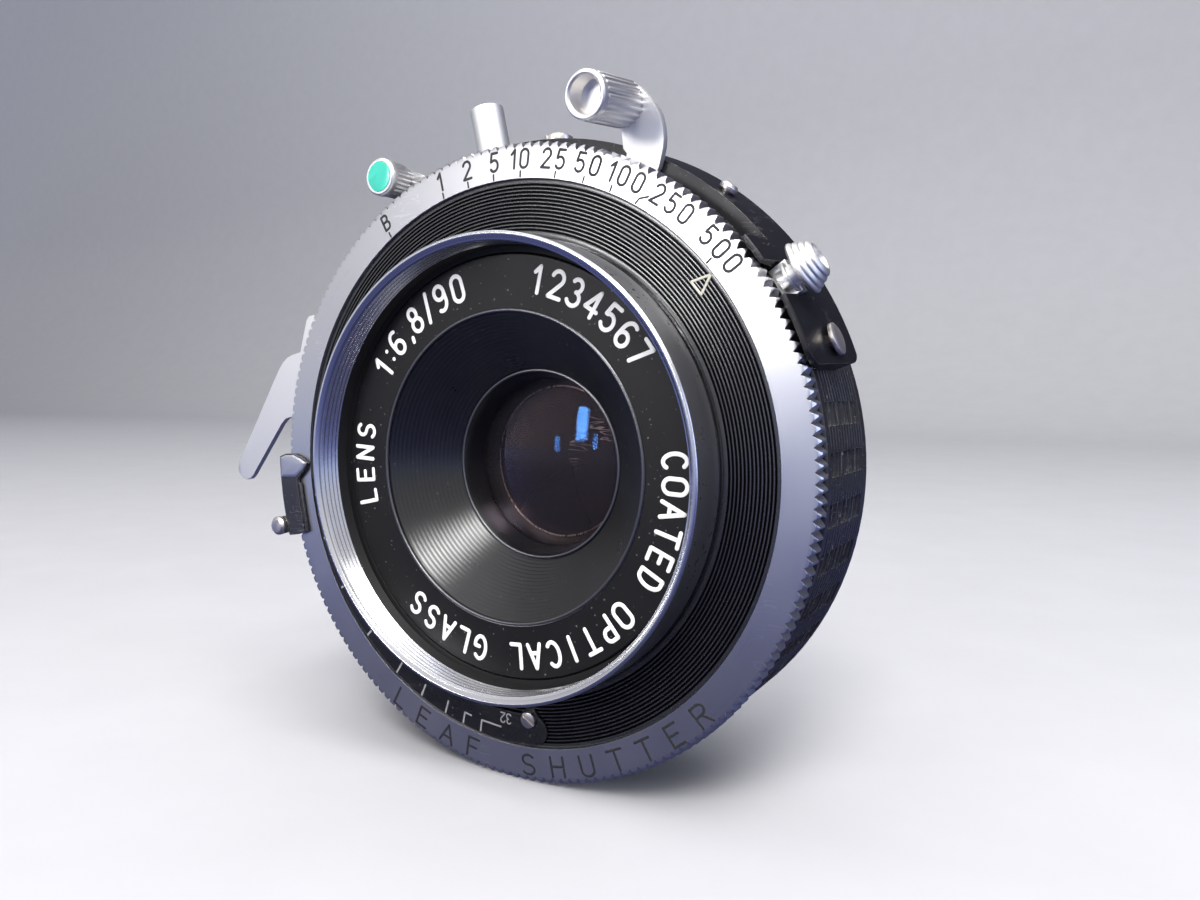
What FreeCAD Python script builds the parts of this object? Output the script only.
import FreeCAD, Part
import math
import os

# Wide-angle view-camera lens in a size 0 press-type leaf shutter. Units: mm, degrees.
# Frame: optical axis along Y, front towards -Y, +Z up, +X to the right seen from the
# front. Origin: optical axis at the mounting flange (rear face of the shutter case).
# Angles: 0 = +X, 90 = +Z, counter-clockwise from the front.

Vector = FreeCAD.Vector
ORIGIN = Vector(0, 0, 0)
OUT_DIR = "parts"
os.makedirs("parts", exist_ok=True)

# ---- dimensions shared between sections ---------------------------------
FIT_GAP = 0.03            # radial play of threads and seats
RUNNING_GAP = 0.06        # radial play of rings turning on the lens tube
CELL_THREAD_R = 14.75     # M29.5 x 0.5
CASE_R = 29.2
TUBE_R = 16.6
SCREW_HOLES = [           # shank holes through band and case: hole radius, angle, y
    (0.62, 89.0, -7.5), (0.45, 52.0, -9.5), (0.64, 21.5, -10.23)]
TERMINAL_ANGLE, TERMINAL_Y = 102.5, -8.0
RELEASE_PIVOT_R, RELEASE_PIVOT_ANGLE = 24.5, 150.0
SCALE_SCREW_R, SCALE_SCREW_ANGLE = 23.6, 275.3
SCALE_HOLE_R = 0.4


# ---- helpers ------------------------------------------------------------
def polar(radius, angle, y=0.0):
    t = math.radians(angle)
    return Vector(radius * math.cos(t), y, radius * math.sin(t))


def turned(shape, angle, centre=ORIGIN):
    """Copy turned about a line parallel to the optical axis."""
    shape = shape.copy()
    shape.rotate(centre, Vector(0, -1, 0), angle)
    return shape


def polygon_face(points):
    return Part.Face(Part.makePolygon(points + [points[0]]))


def revolved(outline, a0=0.0, a1=360.0):
    """Revolve an (r, y) outline about the optical axis from angle a0 to a1."""
    face = polygon_face([Vector(r, y, 0) for r, y in outline])
    face.rotate(ORIGIN, Vector(0, -1, 0), a0)
    return face.revolve(ORIGIN, Vector(0, -1, 0), a1 - a0)


def sector(r0, r1, a0, a1, y0, y1):
    return revolved([(r0, y0), (r1, y0), (r1, y1), (r0, y1)], a0, a1)


def tube(r0, r1, y0, y1):
    return sector(r0, r1, 0.0, 360.0, y0, y1)


def rod(centre, radius, y0, y1):
    """Cylinder parallel to the optical axis."""
    return Part.makeCylinder(radius, y1 - y0, Vector(centre.x, y0, centre.z), Vector(0, 1, 0))


def cone(centre, radius0, radius1, y0, length):
    """Cone parallel to the optical axis, its radius0 end at y0."""
    return Part.makeCone(radius0, radius1, length, Vector(centre.x, y0, centre.z),
                         Vector(0, 1, 0))


def radial_rod(radius, r0, r1, angle, y):
    """Cylinder pointing outwards from the optical axis."""
    return Part.makeCylinder(radius, r1 - r0, polar(r0, angle, y), polar(1, angle))


def prism(points, y0, y1):
    """Extrude a polygon of (x, any, z) vectors along Y."""
    return polygon_face([Vector(p.x, y0, p.z) for p in points]).extrude(Vector(0, y1 - y0, 0))


def polar_prism(outline, y0, y1):
    """Extrude an outline of (radius, angle) points along Y."""
    return prism([polar(r, a) for r, a in outline], y0, y1)


def toothed(centre, outline, count):
    """Points of a ribbed circle; outline is one rib as (fraction of pitch, radius)."""
    pitch = 360.0 / count
    return [centre + polar(r, (i + f) * pitch) for i in range(count) for f, r in outline]


def stepped_funnel(r0, y0, r1, y1, count):
    """Stepped (r, y) outline from the wide mouth to the narrow end."""
    points = [(r0, y0)]
    dr, dy = (r1 - r0) / count, (y1 - y0) / count
    for i in range(count):
        points.append((r0 + dr * i, y0 + dy * (i + 1)))
        points.append((r0 + dr * (i + 1), y0 + dy * (i + 1)))
    return points


def screw_hole_tools(r0, r1):
    return [radial_rod(hole_r, r0, r1, angle, y) for hole_r, angle, y in SCREW_HOLES]


def clean(shape):
    # Face merging can fail or spoil a shape; the unmerged shape is kept then.
    try:
        merged = shape.removeSplitter()
        if merged.isValid():
            shape = merged
    except Exception:
        pass
    return shape


def export(name, shape):
    solids = clean(shape).Solids
    piece = solids[0] if len(solids) == 1 else Part.makeCompound(solids)
    piece.exportStep(os.path.join(OUT_DIR, name + ".step"))


# ---- front cell ---------------------------------------------------------
RIM_R = 21.1              # 42 mm push-on rim
RIM_FRONT_Y = -19.9
FILTER_R = 20.25          # 40.5 mm filter thread, wall radius
NAME_FACE_Y = -16.2
NAME_INNER_R = 14.53
SEAT_R = 19.7             # name ring seat inside the bezel
MOUTH_R = 14.35
THROAT_R = 9.16           # narrow end of both funnels
THROAT_Y = -10.8


def front_bezel():
    groove_r = RIM_R - 0.3
    return revolved([
        (FILTER_R + 0.52, RIM_FRONT_Y), (RIM_R - 0.12, RIM_FRONT_Y), (RIM_R, RIM_FRONT_Y + 0.15),
        (RIM_R, -15.6), (groove_r, -15.55), (groove_r, -14.6), (15.85, -14.6), (15.85, -15.1),
        (SEAT_R, -15.1), (SEAT_R, -16.1), (FILTER_R, -16.1), (FILTER_R, RIM_FRONT_Y + 0.4)])


def name_ring():
    inner_r, outer_r, rear_y = NAME_INNER_R + 0.04, SEAT_R - FIT_GAP, -15.12
    return revolved([
        (inner_r, NAME_FACE_Y), (SEAT_R - 0.2, NAME_FACE_Y), (outer_r, NAME_FACE_Y + 0.17),
        (outer_r, rear_y), (inner_r, rear_y)])


def front_cell_barrel():
    thread_r = CELL_THREAD_R - FIT_GAP
    return revolved(stepped_funnel(MOUTH_R, NAME_FACE_Y, THROAT_R, THROAT_Y, 18) + [
        (9.0, THROAT_Y), (8.75, -10.2), (8.45, -8.45), (8.4, -8.12), (9.45, -8.12),
        (9.45, -6.61), (10.3, -6.61), (10.3, -6.3), (11.9, -6.3), (11.9, -7.4), (13.8, -7.4),
        (13.8, -10.6), (thread_r, -11.0), (thread_r, -14.57), (15.8, -14.57), (15.8, -15.08),
        (NAME_INNER_R, -15.08), (NAME_INNER_R, NAME_FACE_Y)])


def front_glass_retainer():
    return revolved([(7.6, -6.32), (10.27, -6.32), (10.27, -6.58), (9.0, -6.58), (7.5, -6.42)])


# ---- rear cell ----------------------------------------------------------
def rear_cell_barrel():
    thread_r = CELL_THREAD_R - FIT_GAP
    return revolved(stepped_funnel(13.4, 11.5, THROAT_R, 1.6, 16) + [
        (9.0, 1.6), (9.0, 0.95), (9.45, 0.95), (9.45, -2.43), (10.3, -2.43), (10.3, -2.75),
        (11.9, -2.75), (11.9, 0.9), (13.6, 0.9), (13.6, 1.6), (thread_r, 2.0),
        (thread_r, 5.02), (15.95, 5.02), (15.95, 6.5), (15.4, 6.9), (15.4, 11.0), (14.9, 11.5)])


def rear_glass_retainer():
    return revolved([(8.3, -2.75), (10.27, -2.75), (10.27, -2.45), (8.6, -2.45)])


# ---- glass --------------------------------------------------------------
GLASS_R = 9.42
# Surfaces from the outer glass inwards: vertex y, radius of curvature.
# A positive radius has its centre behind the vertex (towards +Y).
SURFACES = {
    "front": [(-10.03, 24.0), (-8.6, 60.0), (-8.1, 60.0), (-7.6, 45.0)],
    "rear": [(2.7, -24.0), (0.9, -60.0), (0.0, -35.0), (-0.9, -30.0)],
}


def glass(front_surface, rear_surface):
    def point(surface, r):
        vertex, radius = surface
        sag = radius - math.copysign(math.sqrt(radius * radius - r * r), radius)
        return Vector(r, vertex + sag, 0)

    axis_front, mid_front, edge_front = [point(front_surface, r) for r in (0, GLASS_R / 2, GLASS_R)]
    axis_rear, mid_rear, edge_rear = [point(rear_surface, r) for r in (0, GLASS_R / 2, GLASS_R)]
    outline = Part.Wire([
        Part.Arc(axis_rear, mid_rear, edge_rear).toShape(),
        Part.LineSegment(edge_rear, edge_front).toShape(),
        Part.Arc(edge_front, mid_front, axis_front).toShape(),
        Part.LineSegment(axis_front, axis_rear).toShape()])
    return Part.Face(outline).revolve(ORIGIN, Vector(0, 1, 0), 360)


def export_glasses():
    for cell, surfaces in SURFACES.items():
        for letter, pair in zip("abc", zip(surfaces, surfaces[1:])):
            export("%s_glass_%s" % (cell, letter), glass(*sorted(pair)))


# ---- shutter case -------------------------------------------------------
CASE_INNER_R = 27.7
CASE_FRONT_Y = -12.9
FLOOR_Y = -2.0
OPENING_R = 12.2
MOUNT_THREAD_R = 16.25    # M32.5 x 0.5
MOUNT_THREAD_L = 5.0
LEVER_SLOTS = [           # start angle, end angle, front y, rear y
    (38.0, 72.5, -13.2, -11.8),      # cocking lever
    (109.6, 137.4, -10.65, -9.75),   # sync lever
    (143.5, 178.0, -9.45, -8.45),    # release lever
    (180.5, 279.5, -3.35, -2.2),     # aperture lever
]
PAD_COUNT, PAD_FIRST_ANGLE, PAD_PITCH, PAD_WIDTH = 10, 8.6, 8.2, 3.9   # angles


def grip_pad_tool(angle):
    """Cuts one patch of grooves into the case wall."""
    outer_r, rib_r, root_r = CASE_R + 1.0, CASE_R - 0.02, CASE_R - 0.42
    outline = [(outer_r, -12.0)]
    for i in range(8):
        y = -11.9 + i * 1.3
        outline += [(rib_r, y), (root_r, y + 0.15), (root_r, y + 0.75), (rib_r, y + 0.9)]
    outline.append((outer_r, -1.9))
    return revolved(outline, angle, angle + PAD_WIDTH)


def shutter_housing():
    groove_r = CASE_R - 0.14
    wall = [(CASE_INNER_R, CASE_FRONT_Y), (CASE_R - 0.2, CASE_FRONT_Y),
            (CASE_R, CASE_FRONT_Y + 0.2)]
    for i in range(13):   # fine turned grooves
        y = -11.6 + i * 0.8
        wall += [(CASE_R, y - 0.13), (groove_r, y - 0.02), (groove_r, y + 0.02),
                 (CASE_R, y + 0.13)]
    wall += [(CASE_R, -0.7), (CASE_R - 0.7, 0.0), (MOUNT_THREAD_R, 0.0),
             (MOUNT_THREAD_R, MOUNT_THREAD_L - 0.2), (MOUNT_THREAD_R - 0.2, MOUNT_THREAD_L),
             (CELL_THREAD_R, MOUNT_THREAD_L), (CELL_THREAD_R, 0.8), (OPENING_R, 0.8),
             (OPENING_R, FLOOR_Y), (CASE_INNER_R, FLOOR_Y)]
    case = revolved(wall)
    tools = [sector(27.0, 31, *slot) for slot in LEVER_SLOTS]
    tools.append(radial_rod(1.48, 26.5, 32, TERMINAL_ANGLE, TERMINAL_Y))
    tools += screw_hole_tools(26.5, 32)
    # grip pads round the lower right
    tools += [grip_pad_tool(PAD_FIRST_ANGLE - PAD_PITCH * k) for k in range(PAD_COUNT)]
    for tool in tools:
        case = case.cut(tool)
    return case


def lens_tube():
    return revolved([
        (CELL_THREAD_R, -14.55), (TUBE_R, -14.55), (TUBE_R, -8.0), (18.2, -8.0),
        (18.2, -7.22), (13.9, -7.22), (13.9, -10.4), (CELL_THREAD_R, -10.6)])


def mechanism_plate():
    pivot = polar(RELEASE_PIVOT_R, RELEASE_PIVOT_ANGLE)
    return tube(12.3, 27.6, -7.2, -6.4).cut([rod(pivot, 1.0, -7.3, -6.3)])


def front_plate():
    """Outer annulus with fine concentric grooves, stepped back inside."""
    face_y, rear_y, groove_y, outer_r, step_r = -15.15, -13.9, -15.0, 26.25, 21.25
    first_r, last_r, count = 21.7, 26.0, 13
    outline = [(step_r, face_y), (21.55, face_y)]
    for i in range(count):
        r = first_r + (last_r - first_r) * i / count
        outline += [(r, face_y), (r + 0.06, groove_y), (r + 0.15, groove_y), (r + 0.21, face_y)]
    outline += [(outer_r, face_y), (outer_r, rear_y), (TUBE_R + 0.04, rear_y),
                (TUBE_R + 0.04, -14.45), (step_r, -14.45)]
    screw = polar(SCALE_SCREW_R, SCALE_SCREW_ANGLE)
    return revolved(outline).cut(rod(screw, SCALE_HOLE_R, -15.3, -13.8))


# ---- speed ring ---------------------------------------------------------
RING_TIP_R, RING_ROOT_R, RING_INNER_R = 29.55, 28.95, 26.3
RING_FRONT_Y, RING_REAR_Y = -15.5, -13.5
RING_TEETH = 192
CAM_SLOTS = [             # start angle, end angle, inner radius, outer radius
    (200, 262, 23.5, 24.7), (300, 352, 21.2, 22.6), (120, 165, 25.0, 26.2)]


def speed_ring():
    tooth = [(0.0, RING_ROOT_R), (0.42, RING_TIP_R), (0.58, RING_TIP_R)]
    ring = prism(toothed(ORIGIN, tooth, RING_TEETH), RING_FRONT_Y, RING_REAR_Y)
    return ring.common(revolved([
        (RING_INNER_R, RING_FRONT_Y), (RING_TIP_R - 0.28, RING_FRONT_Y),
        (RING_TIP_R + 0.1, RING_FRONT_Y + 0.48), (RING_TIP_R + 0.1, RING_REAR_Y - 0.5),
        (RING_ROOT_R + 0.1, RING_REAR_Y), (RING_INNER_R, RING_REAR_Y)]))


def speed_cam_ring():
    ring = tube(17.6, 28.9, -13.45, -13.02)
    for a0, a1, r0, r1 in CAM_SLOTS:
        ring = ring.cut(sector(r0, r1, a0, a1, -13.6, -12.9))
        for a in (a0, a1):
            ring = ring.cut(rod(polar((r0 + r1) / 2, a), (r1 - r0) / 2, -13.6, -12.9))
    return ring


# ---- cover band and its screws ------------------------------------------
BAND_START, BAND_END = 17.8, 93.0       # angles
BAND_FRONT_R, BAND_REAR_R = 30.2, 31.2
BAND_FRONT_Y, BAND_REAR_Y = -15.5, -5.7
BAND_INNER_R = 29.24
BAND_CORNER_R = 1.4


def cover_band():
    band = revolved([
        (29.75, BAND_FRONT_Y), (BAND_FRONT_R - 0.1, BAND_FRONT_Y),
        (BAND_FRONT_R, BAND_FRONT_Y + 0.1), (BAND_REAR_R, BAND_REAR_Y - 0.15),
        (BAND_REAR_R - 0.15, BAND_REAR_Y), (BAND_INNER_R, BAND_REAR_Y),
        (BAND_INNER_R, -12.7), (29.75, -12.7)], BAND_START, BAND_END)
    # openings for the cocking lever and the cable-release socket
    band = band.cut([sector(28.5, 33, 40.2, 95, -16.0, -11.75),
                     sector(28.5, 33, 29.2, 35.3, -16.0, -11.4)] + screw_hole_tools(28, 33))
    # rounded corners of the lower end
    corner_angle = BAND_START + math.degrees(BAND_CORNER_R / 30.5)
    for edge_y, inward in ((BAND_FRONT_Y, 1), (BAND_REAR_Y, -1)):
        centre_y = edge_y + inward * BAND_CORNER_R
        outside_y = edge_y - inward * 0.3
        corner = sector(28.5, 33, BAND_START - 0.5, corner_angle,
                        min(outside_y, centre_y), max(outside_y, centre_y))
        band = band.cut(corner.cut(radial_rod(BAND_CORNER_R, 28, 34, corner_angle, centre_y)))
    return band


def side_screw(hole, head_r, shank_r, r0, r1, slotted=True, dome=0.25):
    """Radial screw; r0 and r1 are the underside and top of the head."""
    _, angle, y = hole
    screw = radial_rod(head_r, r0, r1 - dome, angle, y)
    screw = screw.fuse(Part.makeCone(head_r, head_r * 0.72, dome,
                                     polar(r1 - dome, angle, y), polar(1, angle)))
    screw = screw.fuse(radial_rod(shank_r, 28.0, r0 + 0.1, angle, y))
    if slotted:
        slot = Part.makeBox(2 * head_r + 1, 0.35, 0.5, Vector(-head_r - 0.5, -0.175, 0))
        slot.rotate(ORIGIN, Vector(0, 0, 1), 35)
        slot.rotate(ORIGIN, Vector(0, 1, 0), 90)
        slot.rotate(ORIGIN, Vector(0, -1, 0), angle)
        slot.translate(polar(r1 - 0.3, angle, y))
        screw = screw.cut(slot)
    return screw


def band_screws():
    return Part.makeCompound([
        side_screw(SCREW_HOLES[1], 0.85, 0.42, 31.0, 31.6),
        side_screw(SCREW_HOLES[2], 1.38, 0.58, 30.95, 31.42, slotted=False, dome=0.16)])


def top_screw():
    return side_screw(SCREW_HOLES[0], 1.35, 0.58, 31.2, 32.1)


# ---- aperture scale plate -----------------------------------------------
def aperture_scale_plate():
    front, rear = -15.4, -15.16
    start, end, mid_r = 186.0, 276.0, 24.65
    screw = polar(SCALE_SCREW_R, SCALE_SCREW_ANGLE)
    hole = rod(screw, SCALE_HOLE_R, -15.6, -15.0)
    plate = sector(23.2, 26.1, start, end, front, rear)
    for angle in (end, start):
        plate = plate.fuse(rod(polar(mid_r, angle), 1.45, front, rear))
    plate = plate.common(tube(21.0, 26.2, -16, -15))
    plate = plate.cut(hole)
    return plate.fuse(rod(screw, 1.0, front, rear).cut(hole))


def scale_plate_screw():
    centre = polar(SCALE_SCREW_R, SCALE_SCREW_ANGLE)
    screw = rod(centre, 0.75, -15.8, -15.41).fuse(rod(centre, 0.37, -15.41, -14.3))
    slot = Part.makeBox(2.0, 0.2, 0.24, Vector(centre.x - 1.0, -15.85, centre.z - 0.12))
    slot.rotate(centre, Vector(0, 1, 0), 30)
    return screw.cut(slot)


# ---- aperture lever -----------------------------------------------------
APERTURE_PIN = polar(31.6, 194.1)
APERTURE_TOP = [          # front tab: radius, angle
    (30.5, 180.2), (30.5, 196.5), (29.0, 196.9), (28.0, 196.9), (27.9, 190.6), (27.95, 184.9),
    (26.9, 183.2), (26.15, 181.3), (27.2, 180.2), (28.4, 179.4), (29.5, 179.5)]
APERTURE_STEP = [         # thin strip along the tab: radius, angle
    (28.4, 185.6), (28.4, 196.8), (27.7, 196.9), (27.6, 190.6), (27.65, 186.0)]


def aperture_lever():
    front, rear, outer_r = -16.05, -2.4, 30.4
    arm = sector(25.45, outer_r, 184.5, 196.5, -3.15, rear)
    wrap = sector(29.8, outer_r, 181.0, 196.5, front, rear)
    top = polar_prism(APERTURE_TOP, front, -15.65).common(tube(20, outer_r, -17, -15))
    step = polar_prism(APERTURE_STEP, -15.87, -15.65)
    ear = sector(30.2, 31.7, 192.4, 195.8, -15.95, -15.45)
    ear = ear.fuse(rod(APERTURE_PIN, 0.85, -15.95, -15.45))
    lever = arm.fuse([wrap, top, step, ear])
    for a in (186.0, 188.2, 190.4):   # raised finger ribs
        lever = lever.fuse(sector(30.3, 30.75, a - 0.45, a + 0.45, -14.6, -5.0))
    return lever.cut(rod(APERTURE_PIN, 0.45, -17, -15))


def aperture_lever_pin():
    pin = rod(APERTURE_PIN, 1.0, -16.35, -15.97).fuse(rod(APERTURE_PIN, 0.43, -16.0, -15.2))
    pin = pin.fuse(cone(APERTURE_PIN, 0.75, 1.0, -16.6, 0.25))
    return pin.fuse(rod(APERTURE_PIN, 0.8, -15.43, -15.1))


# ---- iris and shutter blades --------------------------------------------
# ARM: distance from pivot to drive pin. SWING: blade turn for RING_TURN of the ring.
IRIS_PIVOT_R, IRIS_ARM, IRIS_PIN_R = 20.5, 3.4, 0.35
IRIS_SWING, IRIS_RING_TURN = 29.0, 80.0
IRIS_STATIONS = [360.0 / 7 * i + 20.0 for i in range(7)]
SHUTTER_PIVOT_R, SHUTTER_ARM, SHUTTER_PIN_R = 21.5, 2.4, 0.42
SHUTTER_SWING, SHUTTER_RING_TURN = 36.0, 25.0
SHUTTER_STATIONS = [360.0 / 5 * i + 4.0 for i in range(5)]
PIN_SLOT_GAP, PIVOT_HOLE_GAP = 0.07, 0.05


def cam_slot(pivot_r, arm, station, start, ratio, ring_turn, half_width, y0, y1):
    """Locus of a drive pin seen from the turning ring; start is the blade angle."""
    steps, overrun = 24, 0.25
    path = []
    for i in range(steps + 1):
        ring_angle = -overrun + (ring_turn + 2 * overrun) * i / steps
        seen = station - ring_angle
        path.append(polar(pivot_r, seen) + polar(arm, seen + start + ratio * ring_angle - 90))
    left, right = [], []
    for i, p in enumerate(path):
        along = path[min(steps, i + 1)] - path[max(0, i - 1)]
        offset = Vector(-along.z, 0, along.x) * (half_width / along.Length)
        left.append(p + offset)
        right.append(p - offset)
    slot = prism(left + right[::-1], y0, y1)
    return slot.fuse([rod(path[0], half_width, y0, y1), rod(path[-1], half_width, y0, y1)])


def blade(pivot_r, arm, r0, r1, span, station, swing, y0, thickness, pin_r,
          pivot_end_y, drive_end_y, ear_r):
    """Arc blade with two pins, swung about its pivot from the fully open position."""
    y1, mid_y = y0 + thickness, y0 + thickness / 2
    pivot, drive = Vector(pivot_r, 0, 0), Vector(pivot_r, 0, -arm)
    side = Vector(0.75 * ear_r, 0, 0)
    shape = sector(r0, r1, -4.0, span, y0, y1)
    shape = shape.fuse([rod(pivot, ear_r, y0, y1), rod(drive, ear_r * 0.75, y0, y1),
                        prism([pivot - side, pivot + side, drive + side, drive - side], y0, y1)])
    for centre, end_y in ((pivot, pivot_end_y), (drive, drive_end_y)):
        shape = shape.fuse(rod(centre, pin_r, min(mid_y, end_y), max(mid_y, end_y)))
    return turned(turned(clean(shape), swing, pivot), station)


def export_blades():
    for i, station in enumerate(IRIS_STATIONS):
        export("iris_blade_%d" % (i + 1), blade(
            IRIS_PIVOT_R, IRIS_ARM, r0=12.4, r1=19.7, span=118.0, station=station, swing=0.0,
            y0=-4.66 + 0.19 * i, thickness=0.12, pin_r=IRIS_PIN_R,
            pivot_end_y=-5.12, drive_end_y=-2.4, ear_r=1.05))
    for i, station in enumerate(SHUTTER_STATIONS):
        export("shutter_blade_%d" % (i + 1), blade(
            SHUTTER_PIVOT_R, SHUTTER_ARM, r0=12.5, r1=20.8, span=120.0, station=station,
            swing=SHUTTER_SWING, y0=-5.88 + 0.14 * i, thickness=0.1, pin_r=SHUTTER_PIN_R,
            pivot_end_y=-4.8, drive_end_y=-6.3, ear_r=1.15))


def iris_ring():
    ring = tube(12.5, 25.4, -3.2, -2.3)
    for station in IRIS_STATIONS:
        ring = ring.cut(cam_slot(
            IRIS_PIVOT_R, IRIS_ARM, station, 0.0, IRIS_SWING / IRIS_RING_TURN,
            IRIS_RING_TURN, IRIS_PIN_R + PIN_SLOT_GAP, -3.4, -2.2))
    return ring


def blade_drive_ring():
    ring = tube(19.6, 25.2, -6.32, -5.92)
    for station in SHUTTER_STATIONS:
        ring = ring.cut(cam_slot(
            SHUTTER_PIVOT_R, SHUTTER_ARM, station, SHUTTER_SWING,
            -SHUTTER_SWING / SHUTTER_RING_TURN, SHUTTER_RING_TURN,
            SHUTTER_PIN_R + PIN_SLOT_GAP, -6.5, -5.8))
    return ring


def blade_partition_plate():
    plate = tube(12.25, 27.6, -5.15, -4.78)
    for stations, pivot_r, pin_r in ((IRIS_STATIONS, IRIS_PIVOT_R, IRIS_PIN_R),
                                     (SHUTTER_STATIONS, SHUTTER_PIVOT_R, SHUTTER_PIN_R)):
        for station in stations:
            plate = plate.cut(rod(polar(pivot_r, station), pin_r + PIVOT_HOLE_GAP, -5.3, -4.6))
    return plate


# ---- cocking lever ------------------------------------------------------
# Flat inside the case, bent forward outside it about a tangential line; the
# knob stands square on the bent part.
KNOB_ANGLE, KNOB_R, KNOB_L = 71.3, 2.05, 6.15
KNOB_POLAR = (33.84, KNOB_ANGLE)
KNOB = polar(*KNOB_POLAR)
LEVER_BEND = 8.0
COCKING_FRONT_Y, COCKING_REAR_Y = -12.5, -11.9
COCKING_RING_R = 26.55
COCKING_ARM = [           # part inside the case: radius, angle
    (26.4, 69.6), (28.9, 68.4), (30.2, 68.9), (30.2, 62.2), (26.4, 61.6)]
COCKING_TAB = [           # part outside the case: radius, angle
    (29.7, 68.5), (29.98, 68.65), (30.28, 69.6), (30.98, 70.1), (31.52, 70.55), (32.04, 71.1),
    (32.6, 73.2), KNOB_POLAR, (35.76, 71.3), (35.64, 70.2), (35.44, 69.2), (35.18, 68.3),
    (34.87, 67.4), (34.37, 65.9), (33.82, 64.8), (33.08, 63.85), (32.23, 63.0),
    (31.47, 62.55), (30.51, 62.24), (29.7, 62.06)]


def bent(shape):
    outward = polar(1, KNOB_ANGLE)
    shape = shape.copy()
    shape.rotate(polar(29.8, KNOB_ANGLE, -12.25), Vector(-outward.z, 0, outward.x), -LEVER_BEND)
    return shape


def cocking_lever():
    arm = polar_prism(COCKING_ARM, COCKING_FRONT_Y, COCKING_REAR_Y)
    tab = polar_prism(COCKING_TAB, -12.6, COCKING_REAR_Y)
    tab = tab.fuse(rod(KNOB, 1.92, -12.6, COCKING_REAR_Y)).cut(rod(KNOB, 0.8, -13, -11))
    return arm.cut(rod(ORIGIN, COCKING_RING_R + 0.02, -13, -11)).fuse(bent(tab))


def cocking_knob():
    base_y = -12.62
    front_y = base_y - KNOB_L
    rib = [(-0.18, KNOB_R - 0.16), (0.12, KNOB_R - 0.16), (0.30, KNOB_R - 0.02),
           (0.47, KNOB_R), (0.64, KNOB_R - 0.02)]
    knob = prism(toothed(KNOB, rib, 22), front_y + 0.75, base_y)
    knob = knob.fuse(rod(KNOB, KNOB_R - 0.06, front_y, front_y + 0.8))
    # envelope with a chamfered front edge
    envelope = rod(KNOB, KNOB_R + 0.2, front_y, base_y)
    chamfer_y = front_y - 0.05
    envelope = envelope.cut(rod(KNOB, 5, chamfer_y, chamfer_y + 0.5).cut(
        cone(KNOB, KNOB_R - 0.25, KNOB_R + 0.25, chamfer_y, 0.5)))
    knob = knob.common(envelope)
    # blind bore with a countersunk mouth
    knob = knob.cut([rod(KNOB, 1.5, -20, front_y + 1.9),
                     cone(KNOB, 1.75, 1.4, front_y - 0.06, 0.35)])
    return bent(knob.fuse(rod(KNOB, 0.75, -12.7, COCKING_REAR_Y)))


def cocking_ring():
    ring = tube(TUBE_R + RUNNING_GAP, COCKING_RING_R, COCKING_FRONT_Y, COCKING_REAR_Y)
    for a0, a1 in ((200, 300), (320, 395)):
        ring = ring.cut(sector(21.0, 24.5, a0, a1, -13, -11))
    return ring


# ---- sync lever ---------------------------------------------------------
SYNC_POLAR = (32.4, 118.8)
SYNC = polar(*SYNC_POLAR)
SYNC_TAB = [              # plate outside the case: radius, angle
    (29.75, 110.5), (31.4, 113.4), (33.6, 117.3), SYNC_POLAR, (31.0, 120.3), (29.75, 116.5)]


def sync_lever():
    """Hub and arm inside the case, a forward joggle and a plate outside it."""
    inner_r, start, end = TUBE_R + RUNNING_GAP, 110.4, 116.6
    arm_front, arm_rear, tab_front, tab_rear = -10.5, -9.9, -12.7, -12.1
    lever = tube(inner_r, 18.4, arm_front, arm_rear).fuse([
        sector(18.2, 30.35, start, end, arm_front, arm_rear),
        sector(29.75, 30.35, start, end, tab_front, arm_rear),
        polar_prism(SYNC_TAB, tab_front, tab_rear),
        rod(SYNC, 1.45, tab_front, tab_rear)])
    return lever.cut([rod(SYNC, 0.6, -13, -11), rod(ORIGIN, inner_r, -11, -9)])


def sync_button():
    rib = [(0.0, 1.58), (0.4, 1.76), (0.6, 1.76)]
    button = prism(toothed(SYNC, rib, 24), -14.75, -12.72).fuse(rod(SYNC, 1.84, -15.3, -14.7))
    button = button.fuse(cone(SYNC, 1.68, 1.84, -15.5, 0.2))
    button = button.cut(rod(SYNC, 1.47, -15.7, -15.3))
    return button.fuse(rod(SYNC, 0.58, -12.8, -12.1))


def sync_button_inlay():
    return rod(SYNC, 1.45, -15.56, -15.31)


# ---- release lever ------------------------------------------------------
RELEASE_OUTLINE = [       # radius, angle
    (26.3, 145.6), (29.6, 148.4), (33.2, 151.4), (35.9, 153.9), (36.5, 154.5), (36.7, 155.4),
    (36.5, 158.6), (36.4, 161.4), (37.6, 162.5), (38.4, 163.4), (39.0, 164.6), (39.5, 166.1),
    (45.75, 181.95), (46.15, 182.9), (46.1, 183.8), (45.6, 184.65), (44.8, 185.05),
    (44.1, 184.95), (43.5, 184.4), (38.1, 175.25), (37.5, 174.35), (36.9, 173.95),
    (36.1, 173.8), (34.4, 171.9), (31.5, 167.6), (29.4, 162.8), (27.0, 157.8), (24.2, 155.0),
    (22.2, 152.2), (22.2, 147.6)]


def release_lever():
    pivot = polar(RELEASE_PIVOT_R, RELEASE_PIVOT_ANGLE)
    return polar_prism(RELEASE_OUTLINE, -9.3, -8.65).cut(rod(pivot, 1.05, -10, -8))


def release_pivot():
    centre = polar(RELEASE_PIVOT_R, RELEASE_PIVOT_ANGLE)
    pivot = rod(centre, 0.98, -9.4, -6.45).fuse(rod(centre, 1.7, -9.85, -9.36))
    pivot = pivot.cut(Part.makeBox(4, 0.25, 0.4, Vector(centre.x - 2, -9.9, centre.z - 0.2)))
    return pivot.fuse(rod(centre, 1.6, -8.6, -7.22))


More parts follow.
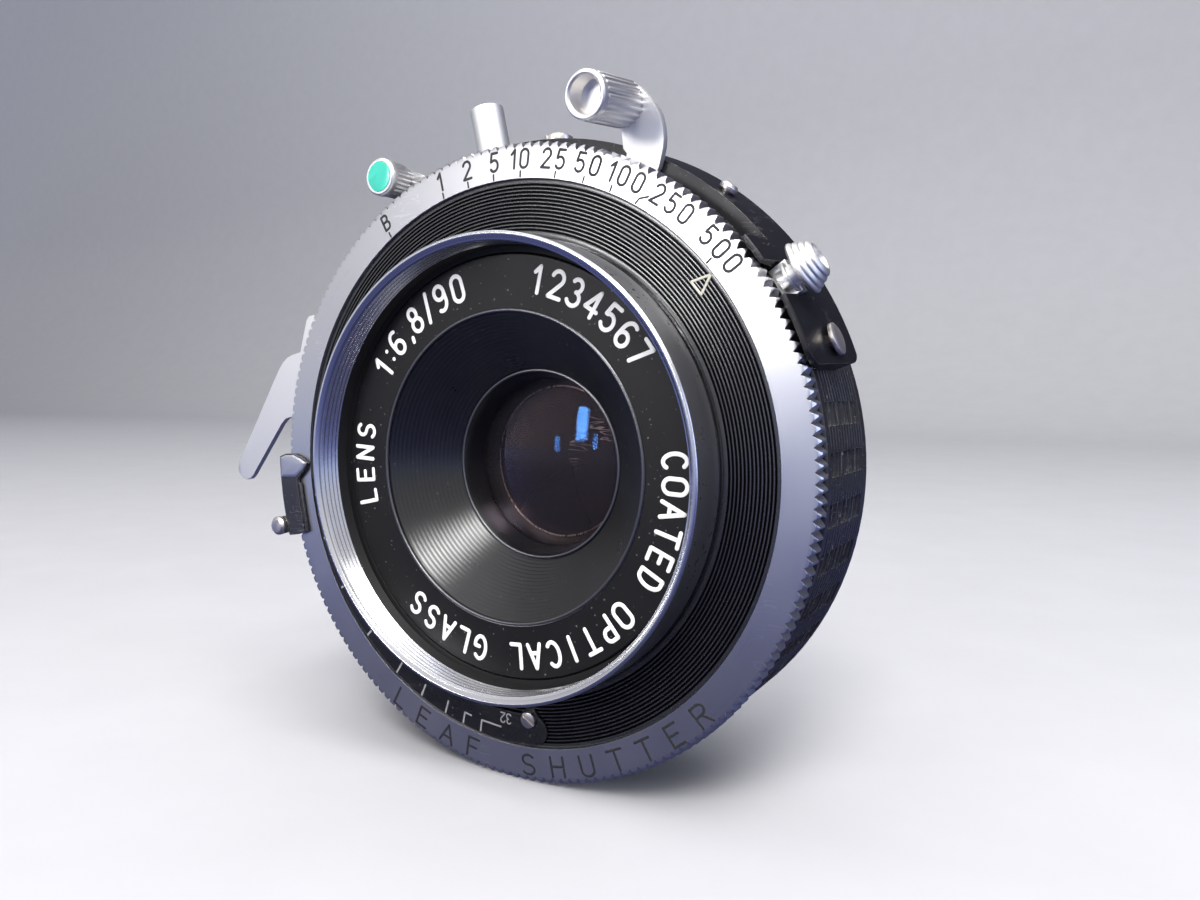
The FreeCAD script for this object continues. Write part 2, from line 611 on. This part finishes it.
# ---- flash terminal -----------------------------------------------------
def terminal_rod(radius, r0, r1):
    return radial_rod(radius, r0, r1, TERMINAL_ANGLE, TERMINAL_Y)


def flash_terminal():
    terminal = terminal_rod(1.7, 29.6, 36.4).fuse(terminal_rod(2.45, 29.36, 30.3))
    terminal = terminal.fuse(terminal_rod(1.45, 27.8, 29.5))
    return terminal.cut(terminal_rod(1.3, 31.0, 37))


def flash_insulator():
    return terminal_rod(1.28, 31.02, 34.0).cut(terminal_rod(0.5, 30.5, 35))


def flash_contact():
    return terminal_rod(0.48, 31.04, 35.6)


# ---- cable-release socket -----------------------------------------------
SOCKET_ANGLE, SOCKET_Y, SOCKET_BORE_R = 32.0, -13.0, 1.15
SOCKET_L = 2.2
SOCKET_PROFILE = [        # head: radius, height above its base
    (0.9, 0.0), (1.95, 0.3), (2.22, 0.42), (2.32, 0.58), (2.26, 0.74), (2.08, 0.84),
    (2.10, 0.92), (2.12, 1.02), (2.02, 1.18), (1.86, 1.28), (1.88, 1.36), (1.89, 1.46),
    (1.78, 1.62), (1.62, 1.72), (1.64, 1.80), (1.64, 1.90), (1.52, 2.06), (1.30, 2.16),
    (SOCKET_BORE_R + 0.1, SOCKET_L)]


def socket_rod(radius, r0, r1):
    return radial_rod(radius, r0, r1, SOCKET_ANGLE, SOCKET_Y)


def socket_stem():
    stem = socket_rod(0.9, 29.78, 31.2)
    stem = stem.fuse(sector(BAND_INNER_R, 30.9, 29.5, 35.0, -12.65, -11.5))
    stem = stem.fuse(socket_rod(1.3, 30.5, 30.75))
    return stem.cut(socket_rod(0.4, 30.2, 32.0))


def socket_head():
    outline = [(0, 0)] + SOCKET_PROFILE + [(0, SOCKET_L)]
    face = polygon_face([Vector(r, 0, height) for r, height in outline])
    head = face.revolve(ORIGIN, Vector(0, 0, 1), 360)
    head = head.cut(Part.makeCylinder(SOCKET_BORE_R, 3.0, Vector(0, 0, 0.2), Vector(0, 0, 1)))
    head.rotate(ORIGIN, Vector(0, 1, 0), 90)
    head.rotate(ORIGIN, Vector(0, -1, 0), SOCKET_ANGLE)
    head.translate(polar(31.22, SOCKET_ANGLE, SOCKET_Y))
    return head


# ---- export: each function carries the name of its piece ----------------
for make in (
        front_bezel, name_ring, front_cell_barrel, front_glass_retainer,
        rear_cell_barrel, rear_glass_retainer,
        shutter_housing, lens_tube, mechanism_plate, front_plate,
        speed_ring, speed_cam_ring, cover_band, band_screws, top_screw,
        aperture_scale_plate, scale_plate_screw, aperture_lever, aperture_lever_pin,
        iris_ring, blade_partition_plate, blade_drive_ring,
        cocking_lever, cocking_knob, cocking_ring,
        sync_lever, sync_button, sync_button_inlay, release_lever, release_pivot,
        flash_terminal, flash_insulator, flash_contact, socket_stem, socket_head):
    export(make.__name__, make())
export_glasses()
export_blades()
